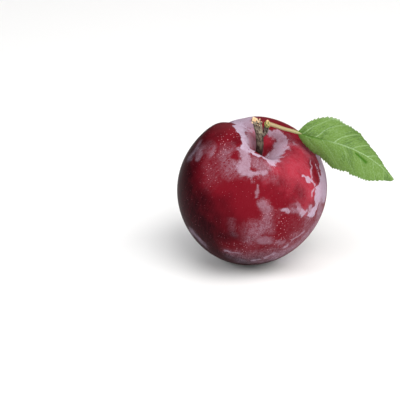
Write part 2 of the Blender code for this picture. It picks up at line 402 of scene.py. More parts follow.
# Bloom that is left on the skin, as strokes: half width in mm, how thick the bloom lies, then
# for each point its polar angle from the stem end and its azimuth round the axis, in degrees.
BLOOM_STROKES = (
    # suture valley, the far wall behind it and the near slope of the hollow
    (3.0, 0.9, 50, 113, 36, 113, 29, 115),
    (3.0, 0.62, 24, 116, 19, 118, 15, 122),
    (2.8, 0.3, 11, 128, 8, 140, 5, 160),
    (1.5, 0.9, 9, 150, 9, 175, 10.5, -165, 12.5, -148, 14.5, -134),
    (1.9, 1.0, 42, 126, 30, 131, 23, 138, 17.5, 149, 14.8, 168, 13.5, -175, 13.2, -157),
    (1.6, 1.0, 13.2, -157, 15.2, -141, 16.5, -132),
    # right-hand slope of the hollow, under the leaf
    (1.5, 0.62, 13.6, 72, 14.4, 52, 14.4, 35, 13.6, 18),
    (0.8, 0.45, 12.8, 60, 12.8, 42, 12.2, 22, 10.6, 0),
    (1.9, 0.8, 13.8, 24, 13.4, 5, 12.8, -12),
    (2.9, 0.82, 12, -10, 12.8, -34, 15.5, -52, 18, -66),
    (1.7, 1.0, 18.4, -62, 18.4, -74),
    # the lip, whose pale line is partly bloom and partly a painted highlight, and below it
    (0.7, 0.95, 15.4, -130, 16, -118, 16.2, -106, 16.6, -95, 17.5, -82),
    (1.1, 0.95, 13.6, -150, 15, -138, 15.8, -126),
    (0.9, 0.9, 12, -150, 12.5, -136, 13, -122, 13.5, -110),
    (3.0, 0.56, 20, -133, 24, -125, 28, -119, 32, -114),
    (2.2, 0.54, 33, -112, 32, -101, 31, -91),
    (1.6, 0.25, 22, -104, 25, -92, 24, -84),
    # middle of the front
    (0.6, 0.35, 41, -92, 48, -91),
    (2.0, 0.31, 53.5, -84, 56, -82, 58, -78),
    (1.6, 0.25, 60, -83, 68, -82),
    (4.0, 0.15, 71, -82, 74, -86, 78, -88),
    (1.9, 0.3, 83, -81, 84, -78, 86, -74),
    (1.0, 0.28, 87, -68, 88, -64),
    # right side
    (3.9, 0.95, 51, 8, 57, -4, 61, -13, 65, -20),
    (2.0, 0.95, 57, -22, 63, -26, 68, -31, 74, -38),
    (3.0, 0.9, 60, 9, 66, -4, 71, -13),
    (1.4, 0.6, 64, -39, 70, -40),
    (2.2, 0.4, 70, -21, 77, -26),
    (0.5, 0.8, 41, -34, 43, -30, 47, -26, 52, -24),
    (0.45, 0.55, 45, -26, 44, -20, 42, -12, 38, -4),
    (0.45, 0.7, 54, -27, 54.5, -30, 57, -34),
    (1.1, 0.62, 58, -65, 60.5, -63.5),
    (1.7, 0.7, 61, -49, 65, -47, 69, -48),
    (1.2, 0.2, 62, -58, 63, -50),
    (1.3, 0.25, 57, -50, 59, -47),
    (0.9, 0.4, 23, 15, 26, 12),
    # low on the front
    (0.8, 0.5, 85, -43, 87, -48, 89, -52),
    (1.4, 0.6, 92.5, -58, 94.5, -62),
    (0.9, 0.5, 104, -66, 106, -72),
    (0.8, 0.5, 108, -77, 109.5, -84),
    (0.7, 0.6, 112, -80, 112, -86),
    (0.9, 0.4, 101, -95, 104, -106),
    # left side
    (1.3, 0.26, 39, -167, 40, -162),
    (1.4, 0.22, 48, -173, 50, -168),
    (2.0, 0.2, 51, 173, 58, -178),
    (2.2, 0.3, 106, -140, 110, -128),
)
# In the same terms: skin that was rubbed bare, brighter and darker skin (partly its own tint,
# partly painted light and painted shade), thin veils of wax (some partly painted sheen and
# highlight), and crowds of lenticels.
BARE_SPOTS = (
    (1.5, 1.0, 26, -144, 27.5, -138),
    (1.0, 1.0, 18.5, -168, 19.5, -158),
    (1.0, 0.8, 28, -102, 29, -98),
    (2.3, 1.0, 47.5, -12, 50, -15),
    (1.4, 1.0, 8.5, 74, 8.8, 58),
)
BRIGHTER_SKIN_AND_LIGHT = (
    (1.8, 0.42, 8.5, 74, 8.8, 50),
    (5.0, 0.2, 98, -94, 100, -108),
    # Painted light on the far wall of the hollow.
    (3.0, 0.6, 14, 124, 7, 150),
    (5.5, 0.3, 33, -150, 42, -148, 48, -136),
)
DARKER_SKIN_AND_SHADE = (
    # Partly darker skin, partly painted shade beside the leaf.
    (2.6, 0.4, 43, -9, 50, -14),
    # Painted shade at the bottom of the hollow.
    (2.6, 0.35, 7, 40, 7, 0, 8, -30),
    (3.0, 0.25, 17, -172, 20, -160),
    (8.0, 0.12, 62, -128, 74, -112, 84, -112),
    (5.0, 0.12, 44, -62, 50, -56, 57, -60),
)
VEILS_AND_SHEEN = (
    # Painted sheen over the lit right side.
    (9.0, 0.12, 28, -40, 44, -28, 60, -30, 84, -46),
    (3.8, 0.48, 29, -148, 32, -137, 34, -126),
    (2.1, 0.24, 38, -170, 45, -175, 54, -179),
    (3.6, 0.17, 64, -76, 76, -86, 88, -88),
    (2.0, 0.16, 73, -107, 82, -103),
    (4.6, 0.36, 90, -48, 96, -58, 103, -76, 106, -98),
    (3.0, 0.28, 23, -104, 25, -90, 32, -76),
    (3.0, 0.28, 60, -56, 66, -44, 76, -38),
    (3.8, 0.42, 75, -38, 81, -40, 85, -50),
    (2.5, 0.3, 20, 16, 29, 10, 36, 2),
    (4.0, 0.15, 35, -150, 43, -146, 49, -140),
    # A pale rim at the lower right edge: partly bloom, partly a painted highlight.
    (4.2, 0.95, 84, -21, 93, -32, 101, -46, 109, -62),
    # Round the bottom: partly bloom, partly painted light from the floor.
    (2.6, 0.45, 112, -62, 116, -78, 116.5, -93),
)
LENTICEL_CROWDS = (
    (3.6, 1.0, 24, 178, 30, -168, 34, -156),
    (3.0, 0.7, 46, -146, 52, -138),
    (2.6, 0.8, 35, -150, 42, -142),
    (3.6, 1.0, 63, -77, 66, -72, 84, -66),
    (3.0, 0.6, 26, -100, 30, -96),
    (7.0, 0.7, 86, -56, 94, -74, 98, -96),
)
STROKE_CORE = 0.2  # a stroke is whole within this many half widths of its line,
STROKE_EDGE = 1.8  # and ends here
FRONT = (46.0, -90.0)  # a direction too
BACK_STROKES = 34
BACK_BEGINS = -0.2  # cosine of the angle from the front, past which the back's bloom may lie

# Waves that bend the strokes: radians of the first over one radius of the fruit, how much
# finer and weaker each set of waves is than the one before, and how far they bend.
WAVE_RADIANS = 22.0
WAVE_STEP = 2.1
WAVE_FADE = 0.55
WAVE_BEND = 0.012
UNEVENNESS = 0.06  # height of the slow waves of the surface, in mm
FLOW_STRETCH = 0.12  # makes the skin's streaks about eight times as long as they are wide
FLOOR_SOFTNESS = 0.3 * MM


def fruit_surface(fruit, polar, azimuth):
    """Point of the skin at a polar angle p from the stem end and an azimuth round the axis.

    Ring radius: W/2 * sin p * (1 + shoulder * cos p) * (1 - cheek * cos 2d), where d is the
    azimuth from the suture. Height: L/2 * cos p, less the hollow, depth * exp(-(r / reach) **
    sharpness), whose reach is wider on one side and drawn in at the lip, plus the blossom
    dimple, a bell curve. The suture takes off depth * exp(-|across / half width| ** sharpness)
    towards the fruit's middle, and eases out at both poles.
    """
    polar, azimuth = np.broadcast_arrays(polar, azimuth)
    from_suture = azimuth - fruit.suture_azimuth
    ring = 0.5 * fruit.width * np.sin(polar) * (1.0 + fruit.shoulder * np.cos(polar))
    ring = ring * (1.0 - fruit.cheek * np.cos(2.0 * from_suture))
    height = 0.5 * fruit.length * np.cos(polar)

    wider = fruit.hollow_reach * np.cos(azimuth - HOLLOW_REACH_AZIMUTH)
    from_lip = np.angle(np.exp(1j * (azimuth - LIP_AZIMUTH)))
    reach = fruit.hollow_radius * (1.0 + wider) - LIP_FOLD * bump_at(from_lip, LIP_SPREAD)
    hollow = fruit.hollow_depth * np.exp(-((ring / reach) ** HOLLOW_SHARPNESS))
    dimple = BLOSSOM_DIMPLE_DEPTH * bump_at(ring, BLOSSOM_DIMPLE_RADIUS)
    height = height + np.where(polar < 0.5 * math.pi, -hollow, dimple)

    below_rim = ease(polar, *SUTURE_EASES)
    across = ring * np.sin(from_suture) / blend(SUTURE_HALF_WIDTH, below_rim)
    depth = blend(SUTURE_DEPTH, below_rim) * ease(polar, *SUTURE_STARTS)
    crease = blend(SUTURE_SHARPNESS, below_rim)
    depth = depth * ease(math.pi - polar, *SUTURE_STARTS) * np.exp(-np.abs(across) ** crease)
    depth = depth * np.clip(np.cos(from_suture), 0.0, 1.0)
    ring = ring - depth * np.sin(polar)
    height = height - depth * np.cos(polar)
    return np.stack((ring * np.cos(azimuth), ring * np.sin(azimuth), height), -1)


def on_sphere(polar, azimuth):
    """Unit vectors at those angles, in radians."""
    return np.stack((np.sin(polar) * np.cos(azimuth), np.sin(polar) * np.sin(azimuth),
                     np.cos(polar)), -1)


def stroke_strength(directions, half_width, stroke, radius):
    """1 along a stroke over the skin, a half at its half width, and 0 at 1.8 times that."""
    line = on_sphere(*np.radians(np.reshape(stroke, (-1, 2))).T)
    nearest = np.min([to_segment(directions, a, b)[0] for a, b in zip(line, line[1:])], axis=0)
    return 1.0 - ease(nearest * radius, STROKE_CORE * half_width, STROKE_EDGE * half_width)


def slow_noise(directions, seed):
    """Seeded waves over the skin, 9 mm to 2 mm long, that bend the strokes out of true."""
    random = np.random.default_rng(seed)
    total = np.zeros(directions.shape[:-1])
    for octave in range(3):
        for _ in range(5):
            wave = unit(random.normal(size=3)) * WAVE_RADIANS * WAVE_STEP**octave
            total += np.sin(directions @ wave + random.uniform(0, 2 * math.pi)) * WAVE_FADE**octave
    return total * WAVE_BEND


def far_side_strokes():
    """Bloom of the back: short strokes of a seeded draw, kept where they clear the front."""
    random = np.random.default_rng(11)
    front = on_sphere(*np.radians(FRONT))
    strokes = []
    while len(strokes) < BACK_STROKES:
        polar, azimuth = random.uniform(25, 165), random.uniform(0, 360)
        heading, length = random.uniform(-1, 1, 2), random.uniform(5, 20)
        bend = random.uniform(-0.6, 0.6)
        turn = heading / np.hypot(*heading) * length / 2
        narrowing = max(math.sin(math.radians(polar)), 0.4)
        points = [(polar + t * turn[0] + bend * (1 - t * t) * turn[1],
                   azimuth + t * turn[1] / narrowing) for t in (-1, 0, 1)]
        half_width, weight = random.uniform(0.8, 3.6), random.uniform(0.2, 0.9)
        if (on_sphere(*np.radians(points).T) @ front).max() < BACK_BEGINS:
            strokes.append((half_width, weight, *np.ravel(points)))
    return strokes


def strongest(directions, strokes, radius):
    """The strongest of the strokes at each point, times how thick that stroke lies."""
    fields = [weight * stroke_strength(directions, half_width * MM, stroke, radius)
              for half_width, weight, *stroke in strokes]
    return np.max(fields, axis=0)


def skin_marks(fruit, polar, azimuth):
    """Where the skin keeps its bloom, where it is sunnier or painted lighter or darker as light
    and shade, and where the lenticels crowd.

    The bloom is the strongest stroke at a point. Its weight is the mean of how thick the
    strokes there lie, each counted by the square of its strength.
    """
    directions = on_sphere(polar, azimuth)
    radius = 0.5 * fruit.width
    bent = unit(directions + np.stack([slow_noise(directions, seed) for seed in (1, 2, 3)], -1))
    bloom, weight, total = np.zeros(polar.shape), np.zeros(polar.shape), np.full(polar.shape, 1e-6)
    for half_width, strength, *stroke in (*BLOOM_STROKES, *far_side_strokes()):
        near = stroke_strength(bent, half_width * MM, stroke, radius)
        bloom = np.maximum(bloom, near)
        weight, total = weight + strength * near**2, total + near**2
    kept = 1.0 - strongest(bent, BARE_SPOTS, radius)
    return {
        "bloom": bloom * kept,
        "bloom_weight": weight / total,
        "veil_and_sheen": strongest(bent, VEILS_AND_SHEEN, radius) * kept,
        "crowded": strongest(directions, LENTICEL_CROWDS, radius),
        # Brighter towards the lit side and in the bright spots, darker in the dark spots: partly the
        # skin's own tint, partly painted light and shade.
        "sunny_and_lit": directions @ on_sphere(*np.radians(SUNNY_AND_LIT_SIDE))
                 + strongest(directions, BRIGHTER_SKIN_AND_LIGHT, radius)
                 - strongest(directions, DARKER_SKIN_AND_SHADE, radius),
    }


def rest_on_floor(points):
    """Flattens the underside: height h becomes (h + sqrt(h2 + s2)) / 2 - s / 2, never under 0."""
    height = points[..., 2]
    height = 0.5 * (height + np.sqrt(height**2 + FLOOR_SOFTNESS**2) - FLOOR_SOFTNESS)
    points[..., 2] = np.maximum(height, 0.0)
    return points


def fruit_mesh(fruit):
    """The fruit's surface on a grid of rings and meridians, with its slight unevenness.

    Slow waves of under 0.1 mm and two bell-shaped swellings are added along the directions
    of the sphere.
    """
    step = np.linspace(0.0, math.pi, FRUIT_RINGS + 2)[1:-1, None]
    polar = step - POLE_CROWDING * np.sin(step)
    polar, azimuth = np.broadcast_arrays(polar, circle(FRUIT_MERIDIANS))
    rings = fruit_surface(fruit, polar, azimuth)
    swell = np.sin(3 * azimuth + 1.0 + 2.0 * polar) + 0.6 * np.sin(5 * azimuth - 3.0 * polar)
    swell = UNEVENNESS * swell * np.sin(polar) ** 2
    outward = on_sphere(polar, azimuth)
    for place, spread, height in SWELLINGS:
        off = np.arccos(np.clip(outward @ on_sphere(*np.radians(place)), -1.0, 1.0))
        swell = swell + height * bump_at(off, math.radians(spread))
    rings = rings + outward * (MM * swell)[..., None]
    poles = [fruit_surface(fruit, np.array(angle), np.array(0.0)) for angle in (0.0, math.pi)]
    points, faces = closed_skin(rings, *poles)
    points = rest_on_floor(points @ lean(fruit).T + fruit_centre(fruit))
    marks = {name: with_poles(values, values[0].mean(), values[-1].mean())
             for name, values in skin_marks(fruit, polar, azimuth).items()}
    # Coordinates in which a streak that runs from stem to blossom end stays long and thin.
    flow = np.stack((np.cos(azimuth), np.sin(azimuth), FLOW_STRETCH * polar), -1)
    marks["skin_flow"] = with_poles(flow, flow[0].mean(0), flow[-1].mean(0))
    return to_mesh("plum_skin", points, faces, marks)


# ---- materials


def fill(tree, made, sockets):
    """Fills or links a node's inputs, each by its name or by its place among those that show."""
    shown = [socket for socket in made.inputs if socket.enabled]
    for key, value in sockets.items():
        target = shown[key] if isinstance(key, int) else next(s for s in shown if s.name == key)
        if isinstance(value, bpy.types.NodeSocket):
            tree.links.new(value, target)
        else:
            target.default_value = value


def add_node(tree, kind, sockets, output=0, **settings):
    """Adds a node with its settings, fills or links its inputs, and returns one of its outputs."""
    made = tree.nodes.new("ShaderNode" + kind)
    stops = settings.pop("stops", None)
    for name, value in settings.items():
        setattr(made, name, value)
    if stops:
        ramp = made.color_ramp.elements
        while len(ramp) < len(stops):
            ramp.new(1.0)
        for element, (place, tint) in zip(ramp, stops):
            element.position = place
            element.color = tint
    fill(tree, made, sockets)
    outputs = [socket for socket in made.outputs if socket.enabled]
    return outputs[output] if isinstance(output, int) else made.outputs[output]


def new_material(name):
    """An empty material, a shorthand that adds nodes to it, and Object coordinates in mm."""
    material = bpy.data.materials.new(name)
    material.use_nodes = True
    node = partial(add_node, material.node_tree)
    place = node("TexCoord", {}, "Object")
    return material, node, node("Mapping", {"Vector": place, "Scale": (1 / MM,) * 3})


def finish_material(material, height, strength, depth, **looks):
    """Gives the shader a relief of that depth in mm, and fills its sockets by their names."""
    tree = material.node_tree
    relief = add_node(tree, "Bump", {"Height": height, "Strength": strength, "Distance": depth * MM})
    sockets = {name.replace("_", " "): value for name, value in looks.items()}
    fill(tree, tree.nodes["Principled BSDF"], {**sockets, "Normal": relief})
    return material


def plum_skin(fruit):
    """Plum skin: thin, matt-glossy and dark red, dusted with wax.

    The wax bloom stays in the hollow, the suture and in torn patches elsewhere: pale, bluish
    and matt over the skin's own satin. Pale lenticels speckle it, and the skin under the
    bloom runs from near black to bright red: partly its own blush from the sun, and partly
    painted shade away from the key light and painted light towards it. Some of the thin wax
    veils are partly painted sheen, highlight and light from the floor.
    """
    material, node, place = new_material("plum_skin")
    bloom, weight, veil_and_sheen, crowded, sunny_and_lit = (
        node("Attribute", {}, "Fac", attribute_name=name)
        for name in ("bloom", "bloom_weight", "veil_and_sheen", "crowded", "sunny_and_lit"))
    flow = node("Attribute", {}, "Vector", attribute_name="skin_flow")

    # Patches of 6 mm, tears of 1.3 mm, flecks of 0.45 mm, and streaks 0.6 mm wide, which is
    # a 55th of the fruit's half width.
    mottle = node("TexNoise", {"Vector": place, "Scale": 1 / 6, "Detail": 3.0})
    tears = node("TexNoise", {"Vector": place, "Scale": 1 / 1.3, "Detail": 5.0, "Roughness": 0.65,
                              "Distortion": 0.2})
    flecks = node("TexNoise", {"Vector": place, "Scale": 1 / 0.45, "Detail": 3.0, "Roughness": 0.6})
    streaks = node("TexNoise", {"Vector": flow, "Scale": 55.0, "Detail": 4.0, "Roughness": 0.7})

    # Skin colour under the bloom, from the shaded side to the sunny side: partly the skin's own
    # blush, partly painted shade and painted light; with fine redder streaks.
    sun_and_light = node("Math", {0: mottle, 1: 0.4, 2: sunny_and_lit}, operation="MULTIPLY_ADD")
    sun_and_light = node("MapRange", {"Value": sun_and_light, "From Min": -0.15, "From Max": 1.27})
    skin = node("ValToRGB", {"Fac": sun_and_light}, "Color", stops=(
        (0.2, fruit.dark_and_shaded_skin), (0.58, fruit.red_skin), (0.82, fruit.red_skin),
        (0.97, fruit.sunny_and_lit_skin)))
    grain = node("Math", {0: flecks, 1: 0.9, 2: streaks}, operation="MULTIPLY_ADD")
    grain = node("MapRange", {"Value": grain, "From Min": 0.8, "From Max": 1.3, "To Max": 0.13})
    skin = node("Mix", {"Factor": grain, "A": skin, "B": linear("#8e1a2c")}, data_type="RGBA")

    # Lenticels: dots 0.2 mm across and about 1.1 mm apart, up to 0.5 mm across where they crowd.
    cells = node("TexVoronoi", {"Vector": place, "Scale": 1 / 1.1})
    dots = node("Math", {0: crowded, 1: 0.14, 2: 0.1}, operation="MULTIPLY_ADD")
    dots = node("Math", {0: dots, 1: cells}, operation="SUBTRACT")
    dots = node("MapRange", {"Value": dots, "From Min": 0.0, "From Max": 0.06, "To Max": 1.2})
    dots = node("Math", {0: dots, 1: flecks}, operation="MULTIPLY")
    skin = node("Mix", {"Factor": dots, "A": skin, "B": linear("#cc8d98")}, data_type="RGBA")

    # Bloom: the strokes, torn at their edges and uneven in body.
    torn = node("Math", {0: tears, 1: 1.1, 2: bloom}, operation="MULTIPLY_ADD")
    torn = node("Math", {0: flecks, 1: 0.9, 2: torn}, operation="MULTIPLY_ADD")
    softness = node("Math", {0: weight, 1: -1.5, 2: 1.65}, operation="MULTIPLY_ADD")
    patch = node("Math", {0: torn, 1: 1.5}, operation="SUBTRACT")
    patch = node("Math", {0: patch, 1: softness}, operation="DIVIDE")
    patch = node("MapRange", {"Value": patch, "From Min": -0.5, "From Max": 0.5},
                 interpolation_type="SMOOTHSTEP")
    patch = node("Math", {0: patch, 1: weight}, operation="MULTIPLY")
    body = node("Math", {0: flecks, 1: tears}, operation="ADD")
    body = node("Math", {0: mottle, 1: 0.6, 2: body}, operation="MULTIPLY_ADD")
    body = node("MapRange", {"Value": body, "From Min": 1.0, "From Max": 1.55, "To Min": 0.65,
                             "To Max": 1.0})
    patch = node("Math", {0: patch, 1: body}, operation="MULTIPLY")

    # A thin uneven veil over all, thicker in the veiled places and round the strokes. The veils
    # on the lit right side, the lower right edge and the bottom are partly painted sheen,
    # highlight and floor light.
    thin = node("Math", {0: veil_and_sheen, 1: 0.75, 2: 0.006}, operation="MULTIPLY_ADD")
    thin = node("Math", {0: bloom, 1: 0.3, 2: thin}, operation="MULTIPLY_ADD")
    uneven = node("Math", {0: streaks, 1: 0.8, 2: tears}, operation="MULTIPLY_ADD")
    uneven = node("Math", {0: flecks, 1: 1.2, 2: uneven}, operation="MULTIPLY_ADD")
    uneven = node("MapRange", {"Value": uneven, "From Min": 1.2, "From Max": 1.9})
    thin = node("Math", {0: thin, 1: uneven}, operation="MULTIPLY")
    cover = node("Math", {0: patch, 1: thin}, operation="MAXIMUM")

    skin = node("Mix", {"Factor": cover, "A": skin, "B": fruit.bloom}, data_type="RGBA")
    rough = node("MapRange", {"Value": cover, "To Min": 0.42, "To Max": 0.8})
    relief = node("Math", {0: dots, 1: 0.8, 2: flecks}, operation="MULTIPLY_ADD")
    return finish_material(material, relief, 0.15, 0.1, Base_Color=skin, Roughness=rough,
                           IOR=1.3, Specular_IOR_Level=0.04)


def stalk_bark(stalk, name, middle, pale):
    """Weathered bark of a fruit stalk: dry, grey-brown and furrowed along its length.

    It is matt all over. The furrows are near black, the ridges between them pale grey, and
    the foot in the hollow is painted darker as shade.
    """
    material, node, place = new_material(name)
    reach = node("Attribute", {}, "Fac", attribute_name="reach")
    along = node("Mapping", {"Vector": place, "Scale": (1.0, 1.0, 0.28)})
    furrows = node("TexNoise", {"Vector": along, "Scale": 1 / 0.55, "Detail": 4.0, "Roughness": 0.65})
    patches = node("TexNoise", {"Vector": place, "Scale": 1 / 2.2, "Detail": 2.0})
    depth = node("Math", {0: patches, 1: 0.6, 2: furrows}, operation="MULTIPLY_ADD")
    tint = node("ValToRGB", {"Fac": depth}, "Color", stops=(
        (0.64, stalk.deep_bark), (0.79, middle), (0.93, linear(pale))))
    # Painted shade: the foot of the stalk, down in the hollow, darkens towards near black.
    foot_shade = node("MapRange", {"Value": reach, "From Min": 0.3, "From Max": 0.72, "To Min": 0.9,
                             "To Max": 0.0})
    torn = node("Math", {0: patches, 1: 0.12, 2: reach}, operation="MULTIPLY_ADD")
    torn = node("MapRange", {"Value": torn, "From Min": 1.05, "From Max": 1.08, "To Max": 0.8})
    for share, over in ((foot_shade, linear("#240b0c")), (torn, stalk.wood)):
        tint = node("Mix", {"Factor": share, "A": tint, "B": over}, data_type="RGBA")
    return finish_material(material, furrows, 0.6, 0.25, Base_Color=tint, Roughness=0.88,
                           Specular_IOR_Level=0.3)


def torn_wood(stalk):
    """Fresh wood where the stalk broke off: pale, peach-coloured and fibrous, with no gloss."""
    material, node, place = new_material("torn_wood")
    along = node("Mapping", {"Vector": place, "Scale": (1.0, 1.0, 0.2)})
    fibres = node("TexNoise", {"Vector": along, "Scale": 1 / 0.3, "Detail": 3.0})
    tint = node("ValToRGB", {"Fac": fibres}, "Color", stops=(
        (0.3, linear("#b5793f")), (0.5, stalk.wood), (0.75, linear("#f6e3c6"))))
    return finish_material(material, fibres, 0.5, 0.15, Base_Color=tint, Roughness=0.8)


def bud_scales(bud):
    """Bud scales: small, leathery and green, drying to pale pinkish tips."""
    material, node, place = new_material("bud_scales")
    dryness = node("Attribute", {}, "Fac", attribute_name="dryness")
    flecks = node("TexNoise", {"Vector": place, "Scale": 1 / 0.5, "Detail": 3.0})
    spread = node("Math", {0: flecks, 1: 0.5, 2: dryness}, operation="MULTIPLY_ADD")
    tint = node("ValToRGB", {"Fac": spread}, "Color", stops=(
        (0.15, linear("#4d4a26")), (0.42, bud.green), (0.8, linear("#c4a15c")), (1.0, bud.tip)))
    return finish_material(material, flecks, 0.4, 0.12, Base_Color=tint, Roughness=0.62)


def petiole_skin(leaf):
    """Leaf stalk: smooth green skin, yellowish in the sun and browner towards the bud."""
    material, node, place = new_material("petiole_skin")
    reach = node("Attribute", {}, "Fac", attribute_name="reach")
    flecks = node("TexNoise", {"Vector": place, "Scale": 1 / 0.8, "Detail": 3.0})
    spread = node("Math", {0: flecks, 1: 0.45, 2: reach}, operation="MULTIPLY_ADD")
    tint = node("ValToRGB", {"Fac": spread}, "Color", stops=(
        (0.1, linear("#8f7446")), (0.4, leaf.petiole), (0.9, linear("#998f63")),
        (1.3, linear("#8f8f5c"))))
    return finish_material(material, flecks, 0.2, 0.1, Base_Color=tint, Roughness=0.5)


def leaf_side(leaf, name, green, vein_share, roughness):
    """Plum leaf: thin, matt to softly shining, with a net of paler veins sunk into its upper side.

    Fine streaks and the net's 1 mm meshes run with the side veins. The underside is paler,
    with its veins standing out.
    """
    material, node, _ = new_material(name)
    flat = node("Attribute", {}, "Vector", attribute_name="leaf_flat")
    vein, fold_and_shade = (node("Attribute", {}, "Fac", attribute_name=mark) for mark in ("vein", "fold_and_shade"))
    with_veins = node("Mapping", {"Vector": flat, "Scale": (1.0, 0.22, 1.0)})
    patches = node("TexNoise", {"Vector": flat, "Scale": 1 / 9, "Detail": 2.0})
    streaks = node("TexNoise", {"Vector": with_veins, "Scale": 1 / 0.9, "Detail": 4.0,
                                "Roughness": 0.6})
    specks = node("TexNoise", {"Vector": flat, "Scale": 1 / 0.5, "Detail": 2.0})
    net = node("TexVoronoi", {"Vector": flat, "Scale": 1 / 1.0}, feature="DISTANCE_TO_EDGE")

    shade = 0.1
    for pattern, share in ((patches, 0.8), (specks, 0.35), (streaks, 0.8)):
        shade = node("Math", {0: pattern, 1: share, 2: shade}, operation="MULTIPLY_ADD")
    dark, pale = (tuple(0.7 * c + 0.3 * d for c, d in zip(green, linear(end)))
                  for end in ("#2c5a34", "#789a48"))
    tint = node("ValToRGB", {"Fac": shade}, "Color", stops=((0.75, dark), (1.0, green), (1.3, pale)))
    lines = node("MapRange", {"Value": net, "From Min": 0.0, "From Max": 0.1, "To Min": 0.15,
                              "To Max": 0.0})
    broken = node("MapRange", {"Value": specks, "From Min": 0.4, "From Max": 0.65,
                               "To Min": 0.3 * vein_share, "To Max": vein_share})
    lines = node("Math", {0: vein, 1: broken, 2: lines}, operation="MULTIPLY_ADD", use_clamp=True)
    # Painted shade: the short fold, the midrib's crease and the blade's foot darken towards deep
    # green.
    for share, over in ((lines, leaf.vein), (fold_and_shade, linear("#35600c"))):
        tint = node("Mix", {"Factor": share, "A": tint, "B": over}, data_type="RGBA")
    height = node("MapRange", {"Value": net, "From Max": 0.3})
    height = node("Math", {0: streaks, 1: 1.2, 2: height}, operation="MULTIPLY_ADD")
    return finish_material(material, height, 0.4, 0.1, Base_Color=tint, Roughness=roughness,
                           Specular_IOR_Level=0.08)


def table_top(stage):
    """Matt white card: even, with no gloss."""
    material = bpy.data.materials.new("white_card")
    material.use_nodes = True
    fill(material.node_tree, material.node_tree.nodes["Principled BSDF"],
         {"Base Color": stage.floor, "Roughness": 0.95, "Specular IOR Level": 0.1})
    return material


# ---- woody pieces


def stalk_mesh(stalk, foot):
    """Bark of the stalk: furrowed rings along its route, flared and ragged at its slanting top.

    Radius = r * thickness * (1 + furrows + knots). The last rings turn in over the break,
    whose rim rises and falls round the stalk.
    """
    route, thickness, shape = rod_route(STALK_ROUTE, STALK_THICKNESS, STALK_GRID, foot)
    up = np.linspace(0.0, 1.0, shape[0])[:, None]
    furrows = 0.07 * ripples(shape, (5, 7, 9, 11), 3, 0.5)
    furrows = furrows + 0.035 * ripples(shape, (13, 17, 21), 4, 1.5)
    knots = 0.06 * ripples(shape, (1, 2, 3), 5, 2.0)
    knots = knots + 0.12 * bump_at(up - 0.77, 0.05) + 0.1 * bump_at(up - 0.93, 0.04)
    radii = stalk.radius * thickness * (1.0 + furrows + knots)
    rings = rod_rings(route, radii, np.array((1.0, 0.0, 0.0)))

    # Ragged rim: the rings near the top are lifted by a tooth pattern, then close inwards.
    lift = 0.45 * MM * ripples((1, shape[1]), (2, 5, 8, 11), 6)[0]
    lift = lift - MM * (0.2 + 1.1 * np.cos(circle(shape[1])))
    rings[..., 2] += ease(up, 0.86, 1.0) * lift
    inner = np.array((0.86, 0.62, 0.35))[:, None, None]
    sunk = np.array((0.1, 0.45, 0.6))[:, None]
    closing = route[-1] + (rings[-1] - route[-1]) * inner
    closing[..., 2] -= sunk * MM
    rings = np.concatenate((rings, closing))
    points, faces = closed_skin(rings, route[0], route[-1] - np.array((0, 0, 0.7 * MM)))
    reach = np.vstack((np.broadcast_to(up, shape), np.ones((len(inner), shape[1]))))
    return to_mesh("stalk_bark", points, faces, {"reach": with_poles(reach, 0.0, 1.0)})


def splinter_mesh(foot):
    """Splinters of torn wood: bent cones, each a small ragged ring carried up its own line.

    The ring's radius falls as 1 - 0.85 * t ** 1.7 from the foot to the tip.
    """
    top = np.array(STALK_ROUTE[-1]) * MM + foot
    points, faces, count = [], [], 0
    for k, (start, end, radius) in enumerate(SPLINTERS):
        start, end = np.array(start), np.array(end)
        bend = 0.25 * np.array((math.cos(2.4 * k), math.sin(2.4 * k), 0.0))
        t = np.linspace(0.0, 1.0, SPLINTER_GRID[0])[:, None]
        line = top + MM * (start + (end - start) * t + bend * t * (1 - t))
        width = radius * MM * (1.0 - 0.85 * t**1.7)
        ragged = 1.0 + 0.22 * ripples(SPLINTER_GRID, (1, 2, 3), 20 + k)
        rings = rod_rings(line, width * ragged, np.array((1.0, 0.2, 0.0)))
        more, skins = closed_skin(rings, line[0], line[-1] + (line[-1] - line[-2]) * 0.5)
        points.append(more)
        faces.append([skin + count for skin in skins])
        count += len(more)
    joined = [np.vstack([part[i] for part in faces]) for i in range(3)]
    return to_mesh("torn_wood", np.vstack(points), joined)


def spur_mesh(stalk, foot):
    """Side spur: a short rod ringed by bud-scale scars, each a ridge 0.75 mm from the next."""
    route, thickness, shape = rod_route(SPUR_ROUTE, SPUR_THICKNESS, SPUR_GRID, foot)
    length = np.linspace(0.0, SPUR_LENGTH, shape[0])[:, None]
    scars = 0.09 * np.abs(np.sin(math.pi * length / SCAR_PITCH + 0.6 * ripples(shape, (1, 2), 8)))
    rough = 0.07 * ripples(shape, (3, 5, 8), 9, 2.0) + 0.04 * ripples(shape, (11, 15), 10, 3.0)
    radii = stalk.spur_radius * thickness * (0.95 + scars + rough)
    upright = np.array((1.0, 0.0, 0.0))
    return rod_mesh("side_spur_bark", route, radii, upright, 0.7 + 0.03 * length)


